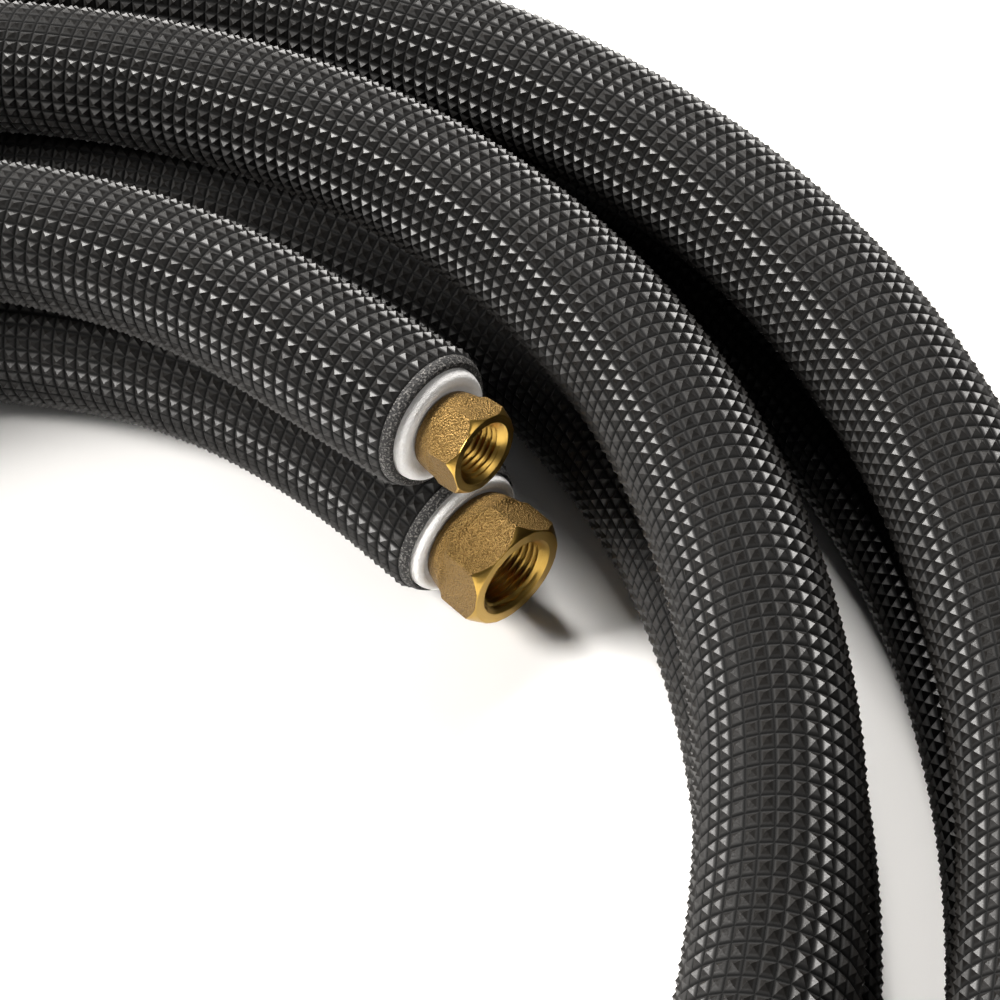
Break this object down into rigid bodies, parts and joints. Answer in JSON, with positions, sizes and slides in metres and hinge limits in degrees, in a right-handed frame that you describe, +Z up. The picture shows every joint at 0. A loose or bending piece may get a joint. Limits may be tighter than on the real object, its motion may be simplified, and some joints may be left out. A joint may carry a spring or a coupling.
{
  "type": "mini split line set",
  "caption": "Coiled pair of insulated copper refrigerant lines in embossed grey jackets over white foam, with a brass flare nut on each tube end.",
  "frame": {"origin": "centre of the coil's bounding box, on the floor it lies on", "axes": "+Z up, across the coil's two stacked lines; the inner end's nuts point between +X and -Y"},
  "size_m": [0.4904, 0.504, 0.0656],
  "materials": {
    "copper": "satin copper",
    "foam": "matte foam",
    "jacket": "embossed satin",
    "brass": "shot-blasted and turned"
  },
  "bodies": {
    "coil": {"liquid_line_tube": "copper", "liquid_line_foam": "foam", "liquid_line_jacket": "jacket", "suction_line_tube": "copper", "suction_line_foam": "foam", "suction_line_jacket": "jacket"},
    "liquid_nut_near": {"liquid_nut_near": "brass"},
    "liquid_nut_far": {"liquid_nut_far": "brass"},
    "suction_nut_near": {"suction_nut_near": "brass"},
    "suction_nut_far": {"suction_nut_far": "brass"}
  },
  "joints": [
    {"name": "liquid_nut_near_spin", "type": "hinge", "parent": "coil", "child": "liquid_nut_near", "pos_m": [0.13529, 0.07083, 0.05118], "axis": [0.707, -0.707, 0.0146], "continuous": true},
    {"name": "liquid_nut_far_spin", "type": "hinge", "parent": "coil", "child": "liquid_nut_far", "pos_m": [-0.12157, -0.21362, 0.0468], "axis": [0.7071, -0.7071, 0], "continuous": true},
    {"name": "suction_nut_near_spin", "type": "hinge", "parent": "coil", "child": "suction_nut_near", "pos_m": [0.14011, 0.07157, 0.01564], "axis": [0.6543, -0.7526, -0.0739], "continuous": true},
    {"name": "suction_nut_far_spin", "type": "hinge", "parent": "coil", "child": "suction_nut_far", "pos_m": [-0.13126, -0.21125, 0.016], "axis": [0.6561, -0.7547, 0], "continuous": true}
  ]
}
